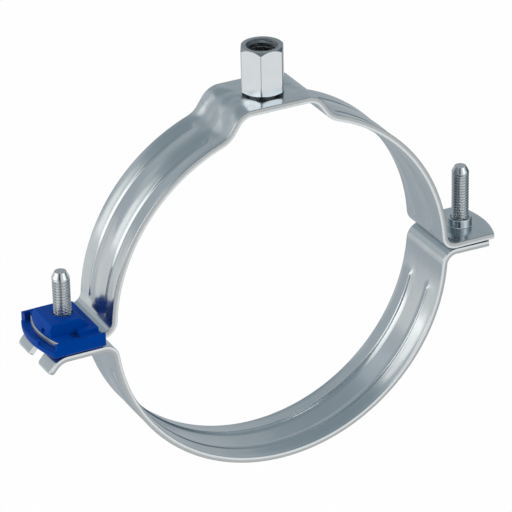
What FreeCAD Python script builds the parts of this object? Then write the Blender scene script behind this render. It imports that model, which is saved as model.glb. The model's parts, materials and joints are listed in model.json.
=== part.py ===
import FreeCAD, Part
import math
import os

# Two-screw pipe bracket for a pipe of about 121 to 127 mm, drawn closed. All sizes are in millimetres.
# The origin is the axis of the pipe, halfway across the strap. Y runs along the pipe, Z points up to the
# connection nut and X points along the ears, with the plastic clip on the -X side.
# A "run" is a distance along X from the axis of the nearer closing screw, and counts outwards.

# Strap: both halves are bent from the same steel band.
strap_width = 25.0
strap_thickness = 2.0

# Pipe seat: the pipe bears on the crests of two pressed beads.
seat_radius = 59.9
bead_height = 0.8
bead_offset = 6.0
bead_crest_width = 1.2
bead_foot_width = 3.4
bead_groove_width = 3.0
bead_floor_width = 1.0
upper_bead_start = 5.0
upper_bead_end = 68.0
lower_bead_margin = 15.2

# Bridge that lifts the nut off the ring.
bridge_rise = 5.05
bridge_flat_half = 10.0
bridge_slope = 55.5
bridge_top_bend = 6.4
bridge_foot_bend = 4.5

# Ears of the upper half. Bend radii are those of the middle of the sheet.
ear_bend = 4.5
upper_ear_underside = -0.75
ear_reach = 11.8
ear_corner_run = 6.3
ear_tip_run = 9.0

# Drawn-up collars, tapped for the screws.
collar_radius = 4.1
collar_height = 2.85
collar_entry = 0.6

# Lower half: set a little lower than the upper one, so the ring is not quite round.
lower_drop = 0.85
right_ear_gap = 0.1
right_ear_droop = 1.0
right_ear_setback = 2.0
screw_hole_radius = 3.3

# Forked left ear, with its two tabs turned down.
clip_plate_gap = 2.85
slot_width = 7.2
tab_bend = 6.0
tab_bend_run = 4.0
tab_angle = 50.0
tab_straight = 2.9
tab_corner = 1.6

# Closing screws, M6, with low round heads and a cross recess.
screw_radius = 2.95
screw_length = 26.4
screw_tip_length = 1.4
screw_tip_radius = 2.2
head_radius = 5.25
head_height = 3.3
head_rim = 1.2
head_face_radius = 3.4
cross_length = 4.6
cross_width = 1.1
cross_depth = 1.8
thread_clearance = 0.05
head_clearance = 0.05

# Connection nut, M10, welded on the bridge by its round neck. Its round faces reach a little past the
# middles of the flats, so the chamfers cut the corners alone.
nut_across_flats = 13.6
nut_total_height = 16.25
nut_neck_height = 0.7
nut_neck_radius = 5.2
nut_face_outset = 0.05
nut_top_chamfer = 47.0
nut_bottom_chamfer = 30.0
nut_bore_radius = 4.25
nut_mouth_radius = 5.3

# Plastic clip on the upper left ear: a plate between the ears, walls round them and a box over the screw.
clip_clearance = 0.1
clip_floor_gap = 0.6
clip_wall = 1.0
clip_wall_rise = 0.8
clip_near_front_run = 8.3
clip_far_front_run = 8.9
clip_near_inner_run = -9.0
clip_far_inner_run = -6.5
clip_corner_run = 9.1
clip_tip_run = 11.9
clip_foot_chamfer = 0.8
front_wall_high = 1.25
front_wall_low = -0.35
front_wall_notch = 0.15
front_wall_step = 5.5
cover_inset = 0.5
cover_inner_run = -8.0
web_thickness = 0.6
box_half_width = 7.2
box_collar_gap = 0.85
box_roof = 0.95
box_outer_run = 7.0
box_inner_run = -3.5
box_edge_round = 0.4
box_hole_clearance = 0.35
deck_half_width = 10.3
deck_outer_run = -1.3
deck_flat = 2.0
deck_rise = 1.75
hatch_length = 2.8
hatch_width = 4.3
window_depth = 1.4
window_width = 2.2
window_height = 1.2
window_sill = 0.3
window_offset = 2.7

# Sizes that follow from the ones above.
inner_radius = seat_radius + bead_height
middle_radius = inner_radius + strap_thickness / 2
outer_radius = inner_radius + strap_thickness
half_width = strap_width / 2
bridge_height = outer_radius + bridge_rise
bridge_middle = bridge_height - strap_thickness / 2
screw_reach = outer_radius + ear_reach
upper_ear_middle = upper_ear_underside + strap_thickness / 2
upper_ear_top = upper_ear_underside + strap_thickness
collar_top = upper_ear_top + collar_height
collar_bore = screw_radius + thread_clearance
right_ear_middle = upper_ear_underside - right_ear_gap - strap_thickness / 2
left_ear_top = upper_ear_underside - clip_plate_gap
left_ear_middle = left_ear_top - strap_thickness / 2
left_ear_underside = left_ear_top - strap_thickness
clip_floor = left_ear_top + clip_floor_gap
cover_bottom = upper_ear_top + clip_clearance / 2
web_top = cover_bottom + web_thickness
box_top = collar_top + box_collar_gap + box_roof
nut_top = bridge_height + nut_total_height
ring_centre = FreeCAD.Vector(0, 0, 0)
lower_centre = FreeCAD.Vector(0, 0, -lower_drop)

# How far a cutting tool runs past the faces that it cuts, and the largest gap taken as none.
overrun = 1.0
touching = 0.001


def at(x, z, y=0.0):
    """Point in the plane across the strap."""
    return FreeCAD.Vector(x, y, z)


def left(run):
    """X of a place on the clip's side, from its run."""
    return -screw_reach - run


def direction(heading):
    """Unit vector in the XZ plane, with the heading in degrees from +X towards +Z."""
    turn = math.radians(heading)
    return at(math.cos(turn), math.sin(turn))


def fillet_to_ring(point, heading, side, bend, centre, radius):
    """Where a straight run meets the ring through a bend that lies outside the ring.

    side is +1 where the bend's centre lies to the left of the run and -1 to the right. Gives the
    length of the run and the ring's polar angle where the bend ends.
    """
    along = direction(heading)
    across = direction(heading + 90 * side)
    start = point + across * bend - centre
    reach = radius + bend
    middle = start.dot(along)
    length = -middle - math.sqrt(middle ** 2 - start.dot(start) + reach ** 2)
    corner = start + along * length
    return length, math.degrees(math.atan2(corner.z, corner.x))


def band(start, heading, moves):
    """Flat strap bent along its middle line: ("run", length) or ("bend", radius, angle)."""
    half = strap_thickness / 2
    left_edges = []
    right_edges = []
    point = start
    for move in moves:
        normal = direction(heading + 90)
        if move[0] == "run":
            end = point + direction(heading) * move[1]
            left_edges.append(Part.LineSegment(point + normal * half, end + normal * half).toShape())
            right_edges.append(Part.LineSegment(point - normal * half, end - normal * half).toShape())
        else:
            turn = math.copysign(1, move[2])
            centre = point + normal * (turn * move[1])
            spokes = [direction(heading + share * move[2] - 90 * turn) for share in (0, 0.5, 1)]
            for edges, radius in ((left_edges, move[1] - turn * half), (right_edges, move[1] + turn * half)):
                edges.append(Part.Arc(*[centre + spoke * radius for spoke in spokes]).toShape())
            end = centre + spokes[2] * move[1]
            heading = heading + move[2]
        point = end
    first = left_edges[0].Vertexes[0].Point, right_edges[0].Vertexes[0].Point
    last_normal = direction(heading + 90) * half
    last = point + last_normal, point - last_normal
    caps = [Part.LineSegment(*first).toShape(), Part.LineSegment(*last).toShape()]
    outline = Part.Wire(Part.__sortEdges__(left_edges + right_edges + caps))
    flat = Part.Face(outline)
    flat.translate(FreeCAD.Vector(0, -half_width, 0))
    return flat.extrude(FreeCAD.Vector(0, strap_width, 0))


def plan_prism(outline, bottom, top):
    """Upright prism over a closed outline of plan points and edges."""
    prism = Part.Face(outline)
    prism.translate(FreeCAD.Vector(0, 0, bottom))
    return prism.extrude(FreeCAD.Vector(0, 0, top - bottom))


def bowed_outline(inner_x, corner_x, tip_x, half):
    """Closed plan outline with a straight inner end and an outer end that bows outwards."""
    corners = [FreeCAD.Vector(inner_x, -half, 0), FreeCAD.Vector(corner_x, -half, 0),
               FreeCAD.Vector(corner_x, half, 0), FreeCAD.Vector(inner_x, half, 0)]
    bow = Part.Arc(corners[1], FreeCAD.Vector(tip_x, 0, 0), corners[2]).toShape()
    sides = [Part.LineSegment(corners[0], corners[1]).toShape(), bow,
             Part.LineSegment(corners[2], corners[3]).toShape(),
             Part.LineSegment(corners[3], corners[0]).toShape()]
    return Part.Wire(sides)


def box(x_from, x_to, y_from, y_to, z_from, z_to):
    """Block between two corners."""
    corner = FreeCAD.Vector(x_from, y_from, z_from)
    return Part.makeBox(x_to - x_from, y_to - y_from, z_to - z_from, corner)


def post(x, radius, bottom, top):
    """Upright cylinder on the line of the ears."""
    return Part.makeCylinder(radius, top - bottom, FreeCAD.Vector(x, 0, bottom))


def bead(centre, start_angle, end_angle, side, crest_radius, foot_radius, crest_width, foot_width):
    """Solid of one long bead: a trapezoid swept round the ring, with round ends.

    foot_radius lies inside the strap's metal for a ridge and outside it for a groove.
    """
    middle = side * bead_offset
    half_crest = crest_width / 2
    slope = (foot_width - crest_width) / 2 / bead_height
    half_foot = half_crest + slope * (foot_radius - crest_radius)
    profile = [at(crest_radius, 0, middle - half_crest), at(crest_radius, 0, middle + half_crest),
               at(foot_radius, 0, middle + half_foot), at(foot_radius, 0, middle - half_foot)]
    section = Part.Face(Part.makePolygon(profile + profile[:1]))
    axis = FreeCAD.Vector(0, -1, 0)
    long_part = section.copy()
    long_part.rotate(ring_centre, axis, start_angle)
    long_part = long_part.revolve(ring_centre, axis, end_angle - start_angle)
    solids = [long_part]
    for angle in (start_angle, end_angle):
        end = Part.makeCone(half_crest, half_foot, foot_radius - crest_radius,
                            at(crest_radius, 0, middle), FreeCAD.Vector(1, 0, 0))
        end.rotate(ring_centre, axis, angle)
        solids.append(end)
    whole = solids[0].fuse(solids[1:])
    whole.translate(centre)
    return whole


def press_beads(strap, centre, spans):
    """Press the beads into the ring: a groove outside and a ridge of the same height inside."""
    ridge_foot = inner_radius + strap_thickness / 4
    groove_floor = outer_radius - bead_height
    groove_mouth = outer_radius + strap_thickness / 4
    for start_angle, end_angle in spans:
        for side in (-1, 1):
            ridge = bead(centre, start_angle, end_angle, side, seat_radius, ridge_foot,
                         bead_crest_width, bead_foot_width)
            groove = bead(centre, start_angle, end_angle, side, groove_floor, groove_mouth,
                          bead_floor_width, bead_groove_width)
            strap = strap.fuse(ridge).cut(groove)
    return strap


def bow_ear_end(strap, side, corner_reach, tip_reach, bottom, top):
    """Cut the end of an ear to its bowed plan, beyond the axis of its screw."""
    ear_end = plan_prism(bowed_outline(0, side * corner_reach, side * tip_reach, half_width), bottom, top)
    beyond = box(*sorted((side * screw_reach, side * (tip_reach + overrun))), -strap_width, strap_width,
                 bottom, top)
    return strap.cut(beyond.cut(ear_end))


def make_upper_half():
    """Upper strap: bridge, ring and two ears with drawn-up collars."""
    shoulder = at(bridge_flat_half, bridge_middle - bridge_top_bend)
    leg_start = shoulder + direction(90 - bridge_slope) * bridge_top_bend
    leg_length, foot_angle = fillet_to_ring(leg_start, -bridge_slope, 1, bridge_foot_bend,
                                            ring_centre, middle_radius)
    tip_reach = screw_reach + ear_tip_run
    ear_length, ear_angle = fillet_to_ring(at(tip_reach, upper_ear_middle), 180, -1, ear_bend,
                                           ring_centre, middle_radius)
    half_path = [("bend", bridge_top_bend, -bridge_slope),
                 ("run", leg_length),
                 ("bend", bridge_foot_bend, foot_angle - 90 + bridge_slope),
                 ("bend", middle_radius, ear_angle - foot_angle),
                 ("bend", ear_bend, 90 - ear_angle),
                 ("run", ear_length)]
    path = half_path[::-1] + [("run", 2 * bridge_flat_half)] + half_path
    strap = band(at(-tip_reach, upper_ear_middle), 0, path)
    for side in (-1, 1):
        axis_x = side * screw_reach
        strap = bow_ear_end(strap, side, screw_reach + ear_corner_run, tip_reach,
                            upper_ear_underside, upper_ear_top)
        strap = strap.fuse(post(axis_x, collar_radius, upper_ear_middle, collar_top))
        strap = strap.cut(post(axis_x, collar_bore, upper_ear_underside - overrun, collar_top + overrun))
        entry = Part.makeCone(collar_bore + collar_entry, collar_bore, collar_entry,
                              at(axis_x, upper_ear_underside))
        strap = strap.cut(entry)
    spans = ((upper_bead_start, upper_bead_end), (180 - upper_bead_end, 180 - upper_bead_start))
    return press_beads(strap, ring_centre, spans)


def round_tab_corner(strap, tip, heading, edge_y, side, radius):
    """Round one corner of a tab; side is +1 where the metal lies towards -Y of the edge."""
    block = box(-radius, radius, *sorted((edge_y - side * radius, edge_y + side * radius)),
                -strap_thickness, strap_thickness)
    heart = Part.makeCylinder(radius, 2 * strap_thickness,
                              FreeCAD.Vector(-radius, edge_y - side * radius, -strap_thickness))
    cutter = block.cut(heart)
    cutter.rotate(ring_centre, FreeCAD.Vector(0, -1, 0), heading)
    cutter.translate(tip)
    return strap.cut(cutter)


def right_ear_middle_at(reach):
    """Height of the middle of the lower right ear, which droops a little from the ring outwards."""
    return right_ear_middle - (reach - middle_radius) * math.tan(math.radians(right_ear_droop))


def make_lower_half():
    """Lower strap: ring, plain right ear and forked left ear with turned-down tabs."""
    tip_reach = screw_reach + ear_tip_run - right_ear_setback
    right_tip = at(tip_reach, right_ear_middle_at(tip_reach))
    right_length, right_angle = fillet_to_ring(right_tip, 180 - right_ear_droop, 1, ear_bend,
                                               lower_centre, middle_radius)
    tab_start = at(left(tab_bend_run), left_ear_middle)
    left_length, left_angle = fillet_to_ring(tab_start, 0, -1, ear_bend, lower_centre, middle_radius)
    path = [("run", right_length),
            ("bend", ear_bend, right_angle + 90 + right_ear_droop),
            ("bend", middle_radius, left_angle - right_angle),
            ("bend", ear_bend, -90 - left_angle),
            ("run", left_length),
            ("bend", tab_bend, tab_angle),
            ("run", tab_straight)]
    strap = band(right_tip, 180 - right_ear_droop, path)
    low = right_tip.z - 2 * strap_thickness
    strap = bow_ear_end(strap, 1, screw_reach + ear_corner_run - right_ear_setback, tip_reach,
                        low, upper_ear_underside)
    strap = strap.cut(post(screw_reach, screw_hole_radius, low, upper_ear_underside))
    tab_heading = 180 + tab_angle
    bend_centre = tab_start + at(0, -tab_bend)
    tab_tip = bend_centre + direction(tab_heading - 90) * tab_bend + direction(tab_heading) * tab_straight
    slot_half = slot_width / 2
    slot = post(-screw_reach, slot_half, tab_tip.z - strap_thickness, upper_ear_underside)
    slot = slot.fuse(box(tab_tip.x - strap_thickness, -screw_reach, -slot_half, slot_half,
                         tab_tip.z - strap_thickness, upper_ear_underside))
    strap = strap.cut(slot)
    for side in (-1, 1):
        strap = round_tab_corner(strap, tab_tip, tab_heading, side * half_width, side, tab_corner)
        strap = round_tab_corner(strap, tab_tip, tab_heading, side * slot_half, -side, tab_corner / 2)
    return press_beads(strap, lower_centre, ((lower_bead_margin - 180, -lower_bead_margin),))


def make_connection_nut():
    """Hexagonal nut with chamfered ends, a round weld neck and a threaded bore."""
    bottom = bridge_height + nut_neck_height
    corner_radius = nut_across_flats / 2 / math.cos(math.radians(30))
    face_radius = nut_across_flats / 2 + nut_face_outset
    corners = [FreeCAD.Vector(corner_radius * math.cos(math.radians(60 * step)),
                              corner_radius * math.sin(math.radians(60 * step)), 0) for step in range(7)]
    hexagon = plan_prism(Part.makePolygon(corners), bottom, nut_top)
    bottom_drop = (corner_radius - face_radius) * math.tan(math.radians(nut_bottom_chamfer))
    top_drop = (corner_radius - face_radius) * math.tan(math.radians(nut_top_chamfer))
    turned = [at(0, bottom), at(face_radius, bottom), at(corner_radius, bottom + bottom_drop),
              at(corner_radius, nut_top - top_drop), at(face_radius, nut_top), at(0, nut_top)]
    blank = Part.Face(Part.makePolygon(turned + turned[:1]))
    blank = blank.revolve(ring_centre, FreeCAD.Vector(0, 0, 1), 360)
    body = hexagon.common(blank).fuse(post(0, nut_neck_radius, bridge_height, bottom + overrun))
    mouth_depth = nut_mouth_radius - nut_bore_radius
    mouth = Part.makeCone(nut_bore_radius, nut_mouth_radius, mouth_depth, at(0, nut_top - mouth_depth))
    bore = post(0, nut_bore_radius, bridge_height - overrun, nut_top + overrun)
    return body.cut(bore).cut(mouth)


def make_screw(x, head_top):
    """Closing screw, pointing up: low round head with a cross recess, shaft of the thread, dog tip."""
    tip = head_top + screw_length
    head_bottom = head_top - head_height
    half = [at(0, head_bottom), at(head_face_radius, head_bottom), at(head_radius, head_top - head_rim),
            at(head_radius, head_top), at(screw_radius, head_top), at(screw_radius, tip - screw_tip_length),
            at(screw_tip_radius, tip), at(0, tip)]
    body = Part.Face(Part.makePolygon(half + half[:1])).revolve(ring_centre, FreeCAD.Vector(0, 0, 1), 360)
    for length, width in ((cross_length, cross_width), (cross_width, cross_length)):
        body = body.cut(box(-length / 2, length / 2, -width / 2, width / 2,
                            head_bottom - overrun, head_bottom + cross_depth))
    body.translate(FreeCAD.Vector(x, 0, 0))
    return body


def side_prism(points, half):
    """Prism over an outline in the XZ plane, reaching half to each side of the middle."""
    profile = Part.Face(Part.makePolygon(points + points[:1]))
    profile.translate(FreeCAD.Vector(0, -half, 0))
    return profile.extrude(FreeCAD.Vector(0, 2 * half, 0))


def make_clip_shell():
    """Plate between the ears with the walls that stand up round the upper ear."""
    plate_top = upper_ear_underside - clip_clearance / 2
    wall_top = upper_ear_top + clip_wall_rise
    inner_half = half_width + clip_clearance
    outer_half = inner_half + clip_wall
    shell = plan_prism(bowed_outline(left(clip_near_inner_run), left(clip_corner_run), left(clip_tip_run),
                                     outer_half), clip_floor, wall_top)
    foot = [edge for edge in shell.Edges
            if max(vertex.Point.z for vertex in edge.Vertexes) < clip_floor + touching
            and min(vertex.Point.x for vertex in edge.Vertexes) < left(clip_near_inner_run) - touching]
    shell = shell.makeChamfer(clip_foot_chamfer, foot)
    pocket = bowed_outline(0, left(clip_corner_run) + clip_wall, left(clip_tip_run) + clip_wall, inner_half)
    shell = shell.cut(plan_prism(pocket, plate_top, wall_top + overrun))
    far_end = box(left(clip_far_inner_run), left(clip_near_inner_run) + overrun,
                  inner_half - touching, outer_half + overrun, clip_floor - overrun, wall_top + overrun)
    return shell.cut(far_end).cut(make_front_skyline(inner_half, wall_top))


def make_front_skyline(inner_half, wall_top):
    """What is open above the clip's front wall, whose top slopes down to a step near one end."""
    high = upper_ear_underside + front_wall_high
    low = upper_ear_underside + front_wall_low
    notch = upper_ear_underside + front_wall_notch
    slope = (high - low) / (front_wall_step + inner_half)
    far = inner_half + clip_wall + overrun
    ceiling = wall_top + overrun
    skyline = [(far, high - slope * (far + front_wall_step)), (-front_wall_step, high),
               (-front_wall_step, notch), (-far, notch), (-far, ceiling), (far, ceiling)]
    middle_run = (clip_near_front_run + clip_far_front_run) / 2
    slant = (clip_far_front_run - clip_near_front_run) / (2 * inner_half)
    corners = [FreeCAD.Vector(left(middle_run + slant * y), y, z) for y, z in skyline]
    depth = clip_tip_run - clip_near_front_run + overrun
    return Part.Face(Part.makePolygon(corners + corners[:1])).extrude(FreeCAD.Vector(-depth, 0, 0))


def make_clip_cover():
    """Part of the clip that lies on the ear: a thin web, a deck and the box over the collar."""
    foot_run = ear_tip_run - cover_inset
    plan = bowed_outline(left(cover_inner_run), left(ear_corner_run - cover_inset), left(foot_run), half_width)
    side_view = [at(left(foot_run), cover_bottom), at(left(foot_run), web_top),
                 at(left(box_outer_run), box_top), at(left(box_inner_run), box_top),
                 at(left(cover_inner_run) - deck_flat, upper_ear_top + deck_rise),
                 at(left(cover_inner_run), upper_ear_top + deck_rise), at(left(cover_inner_run), cover_bottom)]
    tall = side_prism(side_view, box_half_width).common(plan_prism(plan, cover_bottom, box_top))
    rims = [edge for edge in tall.Edges
            if min(vertex.Point.z for vertex in edge.Vertexes) > box_top - touching
            and max(vertex.Point.x for vertex in edge.Vertexes) < left(box_inner_run) + touching]
    tall = tall.makeFillet(box_edge_round, rims)
    deck = box(left(deck_outer_run), left(cover_inner_run), -deck_half_width, deck_half_width,
               cover_bottom, upper_ear_top + deck_rise)
    reach = half_width + clip_clearance + touching
    side_strips = box(left(clip_near_front_run - 2 * clip_wall), left(cover_inner_run), -reach, reach,
                      cover_bottom, web_top)
    return plan_prism(plan, cover_bottom, web_top).fuse([tall, deck, side_strips])


def make_retaining_clip():
    """Moulded clip that wraps the upper left ear and closes over the screw."""
    clip = make_clip_shell().fuse(make_clip_cover())
    clip = clip.cut(post(-screw_reach, collar_radius + box_hole_clearance, cover_bottom - overrun,
                         box_top - box_roof))
    clip = clip.cut(post(-screw_reach, screw_radius + box_hole_clearance, clip_floor - overrun,
                         box_top + overrun))
    hatch_start = left(deck_outer_run)
    hatch = box(hatch_start - hatch_length, hatch_start, -box_half_width - hatch_width, -box_half_width,
                cover_bottom - touching, web_top + touching)
    window = box(left(ear_tip_run), left(ear_tip_run - cover_inset - window_depth),
                 -window_offset - window_width / 2, -window_offset + window_width / 2,
                 web_top - window_sill, web_top + window_height)
    return clip.cut(hatch).cut(window)


right_head_top = (right_ear_middle_at(screw_reach + head_radius) - strap_thickness / 2
                  / math.cos(math.radians(right_ear_droop)) - head_clearance)
pieces = {
    "upper_half": make_upper_half(),
    "lower_half": make_lower_half(),
    "connection_nut": make_connection_nut(),
    "closing_screw_right": make_screw(screw_reach, right_head_top),
    "closing_screw_left": make_screw(-screw_reach, left_ear_underside - head_clearance),
    "retaining_clip": make_retaining_clip(),
}
os.makedirs("parts", exist_ok=True)
for name, piece in pieces.items():
    piece.exportStep(f"parts/{name}.step")
    print(name, piece.isValid(), len(piece.Solids), round(piece.Volume, 1))
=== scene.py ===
# %% [markdown]
# # A two-screw pipe bracket
#
# The real bracket is two bent steel straps round a pipe, a nut welded on top to hang them by, two
# closing screws and a blue plastic clip that holds one screw ready in its slot. This lesson dresses the
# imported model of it. The model is loaded first and never moved: every new piece is built where the
# frame says the old one is.

# %% Load the frame
import cmath
import json
import math

import bmesh
import bpy
from mathutils import Matrix, Vector


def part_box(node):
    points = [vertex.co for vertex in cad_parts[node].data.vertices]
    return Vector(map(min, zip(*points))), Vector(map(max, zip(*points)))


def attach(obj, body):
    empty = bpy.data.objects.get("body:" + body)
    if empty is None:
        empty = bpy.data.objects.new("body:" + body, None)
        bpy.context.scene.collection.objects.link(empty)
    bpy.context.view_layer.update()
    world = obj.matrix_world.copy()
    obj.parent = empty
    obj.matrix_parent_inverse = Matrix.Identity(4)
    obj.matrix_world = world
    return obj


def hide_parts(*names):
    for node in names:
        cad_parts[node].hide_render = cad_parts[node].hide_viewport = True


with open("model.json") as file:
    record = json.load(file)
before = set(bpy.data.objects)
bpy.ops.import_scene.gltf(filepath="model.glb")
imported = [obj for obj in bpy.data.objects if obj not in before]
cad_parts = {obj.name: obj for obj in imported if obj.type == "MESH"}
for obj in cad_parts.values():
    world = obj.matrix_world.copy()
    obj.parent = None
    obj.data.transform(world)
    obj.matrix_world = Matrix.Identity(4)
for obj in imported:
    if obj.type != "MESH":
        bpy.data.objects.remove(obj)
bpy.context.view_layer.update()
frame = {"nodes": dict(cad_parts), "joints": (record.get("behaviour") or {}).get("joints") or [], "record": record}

# %% [markdown]
# ## Sizes that come from the frame
#
# A bracket is drawn in millimetres, so the sizes here are millimetres too, and one factor turns them
# into Blender's metres. What the frame already knows is read from it: the pipe seat, the screws' places,
# the width of the strap and the height of the bridge. A change of the model then carries over.

# %% Read the sizes in millimetres
MM = 0.001


def box_mm(node):
    """Lowest and highest corner of a node of the frame, in millimetres."""
    low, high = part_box(node)
    return low / MM, high / MM


mounts = {mount["name"]: mount for mount in frame["record"]["mounts"]}
joints = {joint["name"]: joint for joint in frame["joints"]}
seat_radius = mounts["pipe_seat"]["dims"]["r_mm"]
screw_reach = joints["turn_right_screw"]["pos_m"][0] / MM
upper_low, upper_high = box_mm("upper_half")
strap_width = upper_high.y - upper_low.y
bridge_height = upper_high.z
ear_tip_reach = upper_high.x
print(f"seat {seat_radius:.1f}, screws at {screw_reach:.1f}, strap {strap_width:.1f} wide, "
      f"bridge at {bridge_height:.2f} mm")

# %% [markdown]
# ## Turning outlines into meshes
#
# Nearly every piece here is turned or bent, so two builders do most of the work. A lathe spins an
# outline round an upright axis, and can add a wave to the radius, which is all that a screw thread is.
# A box with straight sides serves for slots. Booleans with Blender's manifold solver join them, and
# leave closed meshes as long as what goes in is closed. A solid outline starts a hair off its axis, and
# a cutter reaches a millimetre past what it cuts, so that no two surfaces share a plane.

# %% Helpers that make objects
NEAR_AXIS = 0.01
PAST = 1.0
HOLE_SIDES = 64


def new_object(name, points, faces):
    """Object from points in millimetres and faces, with its normals made to point outwards."""
    mesh = bpy.data.meshes.new(name)
    mesh.from_pydata([Vector(point) * MM for point in points], [], faces)
    shape = bmesh.new()
    shape.from_mesh(mesh)
    bmesh.ops.recalc_face_normals(shape, faces=shape.faces)
    shape.to_mesh(mesh)
    shape.free()
    thing = bpy.data.objects.new(name, mesh)
    bpy.context.scene.collection.objects.link(thing)
    return thing


def lathe(name, outline, sides, middle=(0, 0), wave=None):
    """Closed solid of an outline of (radius, height) points, bottom first, spun round an upright axis."""
    points = []
    for radius, height in outline:
        for side in range(sides):
            turn = 2 * math.pi * side / sides
            reach = radius + (wave(turn, height) if wave else 0)
            points.append((middle[0] + reach * math.cos(turn), middle[1] + reach * math.sin(turn),
                           height))
    faces = []
    for row in range(len(outline) - 1):
        for side in range(sides):
            after = (side + 1) % sides
            faces.append((row * sides + side, row * sides + after,
                          (row + 1) * sides + after, (row + 1) * sides + side))
    last = (len(outline) - 1) * sides
    faces.append(tuple(range(sides))[::-1])
    faces.append(tuple(range(last, last + sides)))
    return new_object(name, points, faces)


def block(name, low, high):
    """Closed box between two corners."""
    points = [(x, y, z) for x in (low[0], high[0]) for y in (low[1], high[1]) for z in (low[2], high[2])]
    faces = [(0, 1, 3, 2), (4, 6, 7, 5), (0, 4, 5, 1), (2, 3, 7, 6), (0, 2, 6, 4), (1, 5, 7, 3)]
    return new_object(name, points, faces)


def carve(target, cutter, operation="DIFFERENCE"):
    """Take a closed cutter away from the target, or join it on, for good."""
    change = target.modifiers.new("carve", "BOOLEAN")
    change.operation = operation
    change.solver = "MANIFOLD"
    change.object = cutter
    bpy.context.view_layer.update()
    seen = target.evaluated_get(bpy.context.evaluated_depsgraph_get())
    carved = bpy.data.meshes.new_from_object(seen)
    target.modifiers.clear()
    target.data = carved
    bpy.data.objects.remove(cutter)


def count_open_edges(thing):
    """Edges that don't join exactly two faces: none, on a closed mesh."""
    shape = bmesh.new()
    shape.from_mesh(thing.data)
    found = sum(not edge.is_manifold for edge in shape.edges)
    shape.free()
    return found


# %% [markdown]
# ## The line that a strap follows
#
# Each half is a flat steel band, bent in a press. Seen from the side it is straight runs joined by
# tangent arcs, so its middle line is a short list of moves. Places in that side view are complex
# numbers, x + z·1j, because a turn is then one multiplication. The bend between an ear and the ring has
# no free size: a small formula finds where it lands on the ring.

# %% Trace a bent strap
RUN_STEP = 1.5
ARC_STEP = 0.8
FEWEST_STEPS = 4
TIGHT_BEND = 20.0


def heading_of(degrees):
    """Unit step in the side view, in degrees from +X towards +Z."""
    return cmath.rect(1, math.radians(degrees))


def fillet_to_ring(place, heading, side, bend, centre, radius):
    """Length of a straight run up to the bend that leads into a ring, and the ring's angle after it."""
    along = heading_of(heading)
    start = place + along * 1j * side * bend - centre
    middle = (start * along.conjugate()).real
    length = -middle - math.sqrt(middle ** 2 - abs(start) ** 2 + (radius + bend) ** 2)
    return length, math.degrees(cmath.phase(start + along * length))


def trace(start, heading, moves):
    """Stations (place, direction, distance) along ("run", length) and ("bend", radius, degrees) moves."""
    place, along, distance = start, heading_of(heading), 0.0
    stations = [(place, along, distance)]
    for kind, size, *turn in moves:
        bend = math.radians(turn[0]) if turn else 0.0
        length = size if kind == "run" else size * abs(bend)
        steps = max(FEWEST_STEPS, math.ceil(length / (RUN_STEP if kind == "run" else ARC_STEP)))
        hub = place + along * 1j * math.copysign(size, bend)
        for share in (step / steps for step in range(1, steps + 1)):
            if kind == "run":
                stations.append((place + along * length * share, along, distance + length * share))
            else:
                spin = cmath.rect(1, bend * share)
                stations.append((hub + (place - hub) * spin, along * spin, distance + length * share))
        place, along, distance = stations[-1]
    return stations


def tight_spans(moves):
    """Distances along the moves at which each tight bend starts and ends."""
    spans, distance = [], 0.0
    for kind, size, *turn in moves:
        length = size if kind == "run" else size * abs(math.radians(turn[0]))
        if kind == "bend" and size < TIGHT_BEND:
            spans.append((distance, distance + length))
        distance += length
    return spans


# %% [markdown]
# ## The pressed beads
#
# Two long beads run round each half. They stiffen the strap, and only their crests touch the pipe. A
# press leaves them with wide soft shoulders and a narrow floor, and the soft shoulders are what catch
# the light in long streaks. So a bead is a depth that depends on the distance from the bead's middle
# line: a wide shallow bell that almost reaches the strap's edge, plus a narrow one for the groove. Its
# round ends follow by themselves, because the distance is measured round them. In the lower half the
# slope towards the strap's middle is shorter.

# %% Depth of a bead
bead_offset = 6.0
shoulder_reach = 5.8
shoulder_depth = 0.48
end_reach = 2.8
groove_reach = 1.1
groove_depth = 0.32


def bell(share):
    """1 in the middle, 0 from a share of 1 outwards, smooth between."""
    return 0.5 + 0.5 * math.cos(math.pi * min(1.0, abs(share)))


def bead_depth(distance, across, beads):
    """How far the sheet is pressed inwards at a distance along the strap and a place across it."""
    deepest = 0.0
    for start, end, middle_reach in beads:
        beyond = max(start - distance, 0, distance - end)
        beside = abs(across) - bead_offset
        slope = shoulder_reach if beside > 0 else middle_reach
        depth = (shoulder_depth * bell(math.hypot(beyond / end_reach, beside / slope))
                 + groove_depth * bell(math.hypot(beyond, beside) / groove_reach))
        deepest = max(deepest, depth)
    return deepest


print(f"beads {shoulder_depth + groove_depth:.1f} mm deep, "
      f"{2 * shoulder_reach:.1f} mm wide with their shoulders")

# %% [markdown]
# ## The strap's skin
#
# The skin is two grids of the same rows and columns, one for each face of the sheet, sewn together
# round the border. Near the border the sheet thins along a quarter circle, which rounds the sheared
# edges. At the ends each column is cut to its own length, and that makes the bowed ear ends and the
# rounded corners of the tabs without any cutting.

# %% Build a strap
strap_thickness = 2.0
edge_round = 0.35
edge_angles = (0, 35, 60)
column_step = 0.3
bend_fade = 4.0
half_width = strap_width / 2


def edge_drop(inset):
    """How much a face of the sheet falls away at a small distance from the border."""
    gap = max(0.0, edge_round - inset)
    return edge_round - math.sqrt(edge_round ** 2 - gap ** 2)


def strap_columns():
    """Places across the strap, close together where its edges turn round."""
    rounding = [edge_round * (1 - math.cos(math.radians(angle))) - half_width for angle in edge_angles]
    flat = 2 * (half_width - edge_round)
    steps = round(flat / column_step)
    inner = [-half_width + edge_round + flat * step / steps for step in range(steps + 1)]
    return rounding + inner + [-across for across in reversed(rounding)]


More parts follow.
